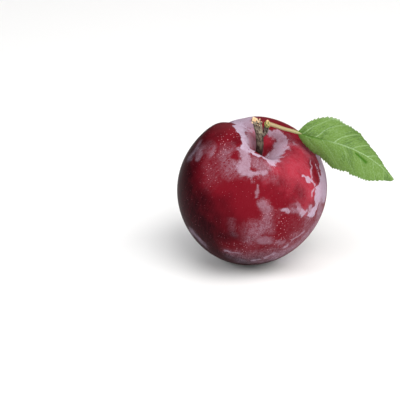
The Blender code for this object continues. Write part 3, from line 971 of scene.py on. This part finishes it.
def bud_mesh(bud, foot):
    """Bud with overlapping scales: an egg whose radius steps out along each scale's edge.

    A scale's edge runs up at its middle and down beside it, height = h0 + a * cos(n * angle),
    and every turn of scales is half a scale further round than the one below.
    """
    centre = np.array(BUD_CENTRE) * MM + foot
    polar = np.linspace(0.0, math.pi, BUD_GRID[0] + 2)[1:-1, None]
    azimuth = circle(BUD_GRID[1])
    height = np.cos(polar)
    step, dryness = np.zeros(BUD_GRID), np.zeros(BUD_GRID)
    for turn in range(BUD_TURNS):
        edge = 0.72 - 0.45 * turn + 0.2 * np.cos(bud.scales * azimuth + math.pi * turn)
        under = ease(edge - height, -0.02, 0.03)
        step += 0.085 * under * np.exp(-np.clip(edge - height, 0.0, 2.0) * 2.2)
        dry_edge = bump_at(edge - height - 0.03, 0.09) * under * (0.9 - 0.2 * turn)
        dryness = np.maximum(dryness, dry_edge)
    dryness = np.maximum(dryness, ease(height, 0.72, 1.0))
    tip = 1.0 - 0.3 * ease(height, 0.0, 1.0)
    radius = bud.radius * np.sin(polar) ** 0.9 * tip * (0.9 + step)
    lift = bud.half_height * (height + 0.1 * ease(height, 0.6, 1.0) * np.cos(3 * azimuth + 1.0))
    rings = centre + np.stack((radius * np.cos(azimuth), radius * np.sin(azimuth), lift), -1)
    ends = centre + np.array(((0, 0, bud.half_height), (0, 0, -bud.half_height)))
    points, faces = closed_skin(rings, *ends)
    return to_mesh("bud_scales", points, faces, {"dryness": with_poles(dryness, 1.0, 0.0)})


def petiole_mesh(leaf, foot):
    """Leaf stalk: a smooth rod, grooved along its upper side and thicker where it joins the bud."""
    route, thickness, shape = rod_route(LEAF_STALK_ROUTE, LEAF_STALK_THICKNESS, LEAF_STALK_GRID, foot)
    turn = circle(shape[1])
    groove = 0.16 * bump_at(np.minimum(turn, 2 * math.pi - turn), 0.5)
    uneven = 0.035 * ripples(shape, (1, 2, 3), 12, 3.0)
    radii = leaf.stalk_radius * thickness * (1.02 - groove + uneven)
    reach = np.linspace(0.0, 1.0, shape[0])[:, None]
    return rod_mesh("petiole", route, radii, np.array((0.0, 0.0, 1.0)), reach)


# ---- leaf

LEAF_ROWS = 360
LEAF_COLUMNS = 121
SIDE_VEINS = ((1.2, 6.8, 15.4, 23.6, 30.8, 37.0), (3.4, 10.6, 18.8, 26.4, 33.4, 39.4))
VEIN_SLOPE = 0.85
VEIN_CURVE = 0.03
MIDRIB_WIDTH = 0.28 * MM
VEIN_WIDTH = 0.17 * MM
QUILTING_HEIGHT = 0.17 * MM
TOOTH_RISE = 0.78  # shares of a tooth's pitch
TOOTH_FALL = 0.22
# Waves of the margin: height and length in mm, phase, and how close they keep to the margin.
MARGIN_WAVES = ((0.3, 1.9, 1.5, 2), (0.12, 0.8, 2.0, 4))


def blade_half_width(along, widest, drawn_in, lobes):
    """Half the width of the blade: a sine that is flattened on top and drawn in to the tip.

    A lobe adds its height times a bell curve about its place along the blade.
    """
    swell = np.sin(math.pi * np.clip(along, 0.0, 1.0) ** 0.96) ** 0.48
    narrowing = 1.0 - drawn_in * ease(along, 0.66, 1.0) * ease(along, 0.6, 0.95)
    width = TIP_WIDTH + (widest - TIP_WIDTH) * swell * narrowing
    for place, spread, height in lobes:
        width = width + height * MM * bump_at(along - place, spread) * ease(1.0 - along, 0.0, 0.08)
    return width


def margin_teeth(leaf, length, along, side):
    """Forward-pointing saw teeth: each rises over most of its pitch and drops back sharply."""
    count = length / leaf.tooth_pitch + 0.35 * np.sin(length / (3.1 * MM) + side) + 0.3 * side
    phase = count - np.floor(count)
    tooth = np.where(phase < TOOTH_RISE, phase / TOOTH_RISE, (1.0 - phase) / TOOTH_FALL)
    size = 0.75 + 0.35 * np.sin(2.1 * np.floor(count) + side)
    tooth = leaf.tooth_depth * size * (tooth - 0.5)
    return tooth * ease(along, 0.02, 0.14) * ease(1.0 - along, 0.0, 0.08)


def vein_distance(length, across):
    """Distance to the nearest side vein, and how far along the midrib a vein through here starts.

    A vein's line is s = s0 + slope * |q| + curve * q2, in millimetres along and across the
    blade, where s0 is its start on the midrib.
    """
    s, q = length / MM, np.abs(across) / MM
    start = s - VEIN_SLOPE * q - VEIN_CURVE * q * q
    nearest = np.full(s.shape, np.inf)
    for starts, side in zip(SIDE_VEINS, (across >= 0.0, across < 0.0)):
        for vein in starts:
            off = np.abs(start - vein - 0.3 * np.sin(0.9 * q + vein))
            off = off / np.sqrt(1.0 + (VEIN_SLOPE + 2 * VEIN_CURVE * q) ** 2)
            nearest = np.where(side, np.minimum(nearest, off), nearest)
    return nearest * MM, start


def blade_surface(leaf, foot, along, across):
    """The blade's middle surface: a Bezier midrib with both halves bent away from it.

    Each half is an arc that turns by twice its bend out at the margin: with v the share of
    the half width w and b the bend, it reaches w * sin(2bv) / 2b sideways and drops
    w * (1 - cos(2bv)) / 2b. The blade rolls about the midrib from its base to its tip.
    """
    a, b, c, d = (np.array(point) * MM + foot for point in BLADE_MIDRIB)
    t = along[:, None]
    centre = a * (1 - t) ** 3 + b * 3 * t * (1 - t) ** 2 + c * 3 * t * t * (1 - t) + d * t**3
    slope = unit((b - a) * (1 - t) ** 2 + (c - b) * 2 * t * (1 - t) + (d - c) * t * t)
    facing = unit(BLADE_FACES - slope * (slope @ BLADE_FACES)[:, None])
    upwards = np.cross(facing, slope)
    roll = blend(BLADE_ROLL, t)
    normal = facing * np.cos(roll) + upwards * np.sin(roll)
    sideways = upwards * np.cos(roll) - facing * np.sin(roll)
    length = np.concatenate(((0.0,), np.cumsum(np.linalg.norm(np.diff(centre, axis=0), axis=1))))

    share = np.abs(across)
    upper = across >= 0.0
    widths = [blade_half_width(along, widest, *BLADE_SHAPES[side])
              + margin_teeth(leaf, length, along, side)
              for side, widest in enumerate((leaf.upper_half, leaf.lower_half))]
    width = np.where(upper, widths[0][:, None], widths[1][:, None])
    bend = np.where(upper, blend(UPPER_BEND, t), blend(LOWER_BEND, t))
    reach = width * np.sin(2 * bend * share) / (2 * bend)
    drop = width * (1.0 - np.cos(2 * bend * share)) / (2 * bend)
    reach = np.where(upper, reach, -reach)[..., None]
    sheet = centre[:, None] + sideways[:, None] * reach - normal[:, None] * drop[..., None]
    length = np.broadcast_to(length[:, None], width.shape)
    return sheet, length, width * across


def leaf_mesh(leaf, foot):
    """The blade's two sides over its middle surface, closed along the margin.

    Upper side: middle + normal * (half thickness + quilting - vein grooves). Underside:
    middle - normal * (half thickness - quilting + vein ridges).
    """
    step = np.linspace(0.0, 1.0, LEAF_ROWS)
    along = 0.6 * step + 0.4 * (0.5 - 0.5 * np.cos(math.pi * step))
    across = np.linspace(-1.0, 1.0, LEAF_COLUMNS)
    across = np.sign(across) * np.abs(across) ** 0.92
    sheet, s, q = blade_surface(leaf, foot, along, across)
    along, share = along[:, None], np.abs(across)
    du, dv = np.gradient(sheet, axis=0), np.gradient(sheet, axis=1)
    normal = unit(np.cross(dv, du))
    if normal[LEAF_ROWS // 2, LEAF_COLUMNS // 2] @ BLADE_FACES < 0.0:
        normal = -normal

    fine = ease(1.0 - share, 0.0, 0.15)
    to_vein, start = vein_distance(s, q)
    midrib = bump_at(q, MIDRIB_WIDTH * (1.25 - along))
    side_vein = bump_at(to_vein, VEIN_WIDTH) * fine * np.where(q > 0.0, 1.0, 0.35)
    quilting = QUILTING_HEIGHT * (1.0 - bump_at(to_vein, 1.3 * MM))
    quilting = quilting * (1.0 - bump_at(q, 1.2 * MM)) * fine
    waves = 0.0
    for height, length, phase, power in MARGIN_WAVES:
        waves = waves + height * MM * np.sin(s / (length * MM) + phase * np.sign(q)) * share**power
    half = 0.5 * leaf.thickness * (1.0 - 0.45 * share**2)
    taper = 1.0 - 0.75 * along
    to_fold, along_fold = to_segment(np.stack((s, q), -1) / MM, *np.array(FOLD))
    fold_and_shade = bump_at(to_fold, 0.35 + 0.4 * along_fold)
    groove = 0.2 * MM * midrib * taper + 0.1 * MM * side_vein + 0.3 * MM * fold_and_shade
    ridge = 0.5 * MM * midrib * taper + 0.14 * MM * side_vein
    top = sheet + normal * (waves + quilting + half - groove)[..., None]
    under = sheet + normal * (waves + quilting - half - ridge)[..., None]

    grid = np.arange(LEAF_ROWS * LEAF_COLUMNS).reshape(LEAF_ROWS, LEAF_COLUMNS)
    quads = np.stack((grid[:-1, :-1], grid[:-1, 1:], grid[1:, 1:], grid[1:, :-1]), -1)
    quads = quads.reshape(-1, 4)
    margin = np.concatenate((grid[0], grid[1:, -1], grid[-1, -2::-1], grid[-2:0:-1, 0]))
    after = np.roll(margin, -1)
    edge = np.stack((margin, margin + grid.size, after + grid.size, after), -1)
    points = np.vstack((top.reshape(-1, 3), under.reshape(-1, 3)))

    flat = np.stack((start, q / MM, np.zeros_like(s)), -1).reshape(-1, 3)
    vein = np.maximum(midrib * ease(along, 0.2, 0.5), side_vein * (1.0 - 0.6 * share))
    rim = np.where(q > 0.0, ease(share, 0.86, 0.94), 0.5 * ease(share, 0.96, 0.99))
    vein = np.maximum(vein, 0.75 * rim * ease(along, 0.15, 0.4))
    # The midrib lies in a crease for its first third, painted dark as its shade, and the blade's
    # foot is painted darker as shade too.
    crease = 0.8 * bump_at(q, 0.3 * MM) * (1.0 - ease(along, 0.22, 0.4))
    crease = np.maximum(crease, 0.4 * bump_at(q, 2.2 * MM) * (1.0 - ease(along, 0.02, 0.14)))
    fold_and_shade = np.maximum(fold_and_shade, crease)
    marks = {"leaf_flat": flat, "vein": vein.reshape(-1), "fold_and_shade": fold_and_shade.reshape(-1)}
    marks = {name: np.concatenate((values, values)) for name, values in marks.items()}
    mesh = to_mesh("leaf", points, [quads, quads[:, ::-1] + grid.size, edge], marks)
    sides = np.repeat((0, 1, 1), (len(quads), len(quads), len(edge))).astype(np.int32)
    mesh.polygons.foreach_set("material_index", sides)
    return mesh


# ---- operators


class PLUM_OT_grow_fruit(Operator):
    """Grow the fruit, with its hollow, suture, bloom and flat spot"""

    bl_idname = "plum.grow_fruit"
    bl_label = "Fruit"

    def execute(self, context):
        fruit = context.scene.plum_fruit
        new_piece("plum_skin", fruit_mesh(fruit), [plum_skin(fruit)], "plum_skin", "fruit")
        return {"FINISHED"}


class PLUM_OT_grow_stalk(Operator):
    """Grow the woody stalk with its torn top, and the side spur"""

    bl_idname = "plum.grow_stalk"
    bl_label = "Stalk and Spur"

    def execute(self, context):
        stalk = context.scene.plum_stalk
        foot = stalk_foot(context.scene.plum_fruit)
        bark = stalk_bark(stalk, "stalk_bark", stalk.bark, "#a09580")
        # The spur's bark is darker than the stalk's: partly its own dark bark, partly painted shade.
        shaded_spur_bark = stalk_bark(stalk, "spur_bark", linear("#2f2621"), "#7d7066")
        new_piece("stalk_bark", stalk_mesh(stalk, foot), [bark], "stalk_bark", "fruit_stalk")
        new_piece("torn_wood", splinter_mesh(foot), [torn_wood(stalk)], "stalk_bark")
        new_piece("side_spur_bark", spur_mesh(stalk, foot), [shaded_spur_bark], "stalk_bark", "side_spur")
        return {"FINISHED"}


class PLUM_OT_grow_bud(Operator):
    """Grow the bud at the end of the side spur"""

    bl_idname = "plum.grow_bud"
    bl_label = "Bud"

    def execute(self, context):
        bud = context.scene.plum_bud
        foot = stalk_foot(context.scene.plum_fruit)
        new_piece("bud_scales", bud_mesh(bud, foot), [bud_scales(bud)], "bud_green", "spur_bud")
        return {"FINISHED"}


class PLUM_OT_grow_leaf(Operator):
    """Grow the leaf and its stalk"""

    bl_idname = "plum.grow_leaf"
    bl_label = "Leaf"

    def execute(self, context):
        leaf = context.scene.plum_leaf
        foot = stalk_foot(context.scene.plum_fruit)
        skin = petiole_skin(leaf)
        sides = [leaf_side(leaf, "leaf_upper_side", leaf.green, 0.75, 0.5),
                 leaf_side(leaf, "leaf_underside", leaf.underside, 0.6, 0.65)]
        new_piece("petiole", petiole_mesh(leaf, foot), [skin], "leaf_stalk_green", "leaf_stalk")
        new_piece("leaf", leaf_mesh(leaf, foot), sides, "leaf_green", "leaf_blade")
        return {"FINISHED"}


class PLUM_OT_set_stage(Operator):
    """Set the table top, the soft lights and the camera"""

    bl_idname = "plum.set_stage"
    bl_label = "Stage"

    def execute(self, context):
        stage = context.scene.plum_stage
        middle = Vector(fruit_centre(context.scene.plum_fruit))
        lay_table(stage)
        hang_lights(middle)
        place_camera(stage, middle)
        context.scene.view_settings.view_transform = "Standard"
        return {"FINISHED"}


# ---- stage

TABLE_HALF = 3.0
# Soft boxes: azimuth and height in degrees, distance (m), size (m), power (W) and colour.
SOFT_BOXES = (
    ("key_light", -66.0, 50.0, 1.1, 0.8, 8.0, "#fffdfb"),
    ("right_light", -12.0, 38.0, 1.1, 0.9, 6.0, "#fffdfb"),
    ("top_light", -90.0, 76.0, 1.5, 1.6, 10.5, "#ffffff"),
    ("left_fill", -150.0, 34.0, 1.1, 0.5, 4.0, "#fdfeff"),
    ("front_fill", -90.0, 18.0, 1.2, 0.7, 3.6, "#ffffff"),
    ("back_wash", 96.0, 34.0, 1.0, 0.7, 2.0, "#ffffff"),
)
# How far the picture's middle lies from the middle of the fruit, to the left and below.
AIM_SHIFT = (-22.1 * MM, -3.2 * MM)
ROOM_STRENGTH = 0.04
SENSOR_WIDTH = 36.0


def lay_table(stage):
    corners = np.array(((-1, -1, 0), (1, -1, 0), (1, 1, 0), (-1, 1, 0))) * TABLE_HALF
    mesh = bpy.data.meshes.new("table_top")
    mesh.from_pydata(corners, [], [(0, 1, 2, 3)])
    mesh.materials.append(table_top(stage))
    table = bpy.data.objects.new("table_top", mesh)
    bpy.context.scene.collection.objects.link(table)


def hang_lights(middle):
    for name, azimuth, height, distance, width, power, tint in SOFT_BOXES:
        lamp = bpy.data.lights.new(name, "AREA")
        lamp.shape = "DISK"
        lamp.size = width
        lamp.energy = power
        lamp.color = linear(tint)[:3]
        holder = bpy.data.objects.new(name, lamp)
        bpy.context.scene.collection.objects.link(holder)
        around, up = math.radians(azimuth), math.radians(height)
        towards = Vector((math.cos(up) * math.cos(around), math.cos(up) * math.sin(around),
                          math.sin(up)))
        holder.location = middle + towards * distance
        holder.rotation_euler = towards.to_track_quat("Z", "Y").to_euler()
    world = bpy.data.worlds.new("soft_room")
    world.use_nodes = True
    fill(world.node_tree, world.node_tree.nodes["Background"],
         {"Color": linear("#ffffff"), "Strength": ROOM_STRENGTH})
    bpy.context.scene.world = world


def place_camera(stage, middle):
    """Looks down by the camera height from the front, aimed a little beside the fruit."""
    up = Vector((0.0, math.sin(stage.height), math.cos(stage.height)))
    back = Vector((0.0, -math.cos(stage.height), math.sin(stage.height)))
    lens = bpy.data.cameras.new("camera")
    lens.sensor_width = SENSOR_WIDTH
    lens.lens = stage.lens
    lens.clip_start = 0.01
    camera = bpy.data.objects.new("camera", lens)
    bpy.context.scene.collection.objects.link(camera)
    aim = middle + Vector((AIM_SHIFT[0], 0.0, 0.0)) + up * AIM_SHIFT[1]
    camera.location = aim + back * stage.distance
    camera.rotation_euler = back.to_track_quat("Z", "Y").to_euler()
    bpy.context.scene.camera = camera


# ---- panel and registering


class PLUM_PT_panel(Panel):
    """Sizes and colours of the plum, and a button for each piece"""

    bl_label = "Plum"
    bl_idname = "PLUM_PT_panel"
    bl_space_type = "VIEW_3D"
    bl_region_type = "UI"
    bl_category = "Plum"

    def draw(self, context):
        for settings, _, button in ROWS:
            box = self.layout.box()
            group = getattr(context.scene, settings)
            for name in group.__annotations__:
                box.prop(group, name)
            box.operator(button.bl_idname)


ROWS = (
    ("plum_fruit", PlumFruitSettings, PLUM_OT_grow_fruit),
    ("plum_stalk", PlumStalkSettings, PLUM_OT_grow_stalk),
    ("plum_bud", PlumBudSettings, PLUM_OT_grow_bud),
    ("plum_leaf", PlumLeafSettings, PLUM_OT_grow_leaf),
    ("plum_stage", PlumStageSettings, PLUM_OT_set_stage),
)


def register():
    for settings, group, button in ROWS:
        bpy.utils.register_class(group)
        setattr(bpy.types.Scene, settings, PointerProperty(type=group))
        bpy.utils.register_class(button)
    bpy.utils.register_class(PLUM_PT_panel)


def unregister():
    bpy.utils.unregister_class(PLUM_PT_panel)
    for settings, group, button in ROWS:
        bpy.utils.unregister_class(button)
        delattr(bpy.types.Scene, settings)
        bpy.utils.unregister_class(group)


def main():
    register()
    bpy.ops.plum.grow_fruit()
    bpy.ops.plum.grow_stalk()
    bpy.ops.plum.grow_bud()
    bpy.ops.plum.grow_leaf()
    bpy.ops.plum.set_stage()


if __name__ == "__main__":
    main()
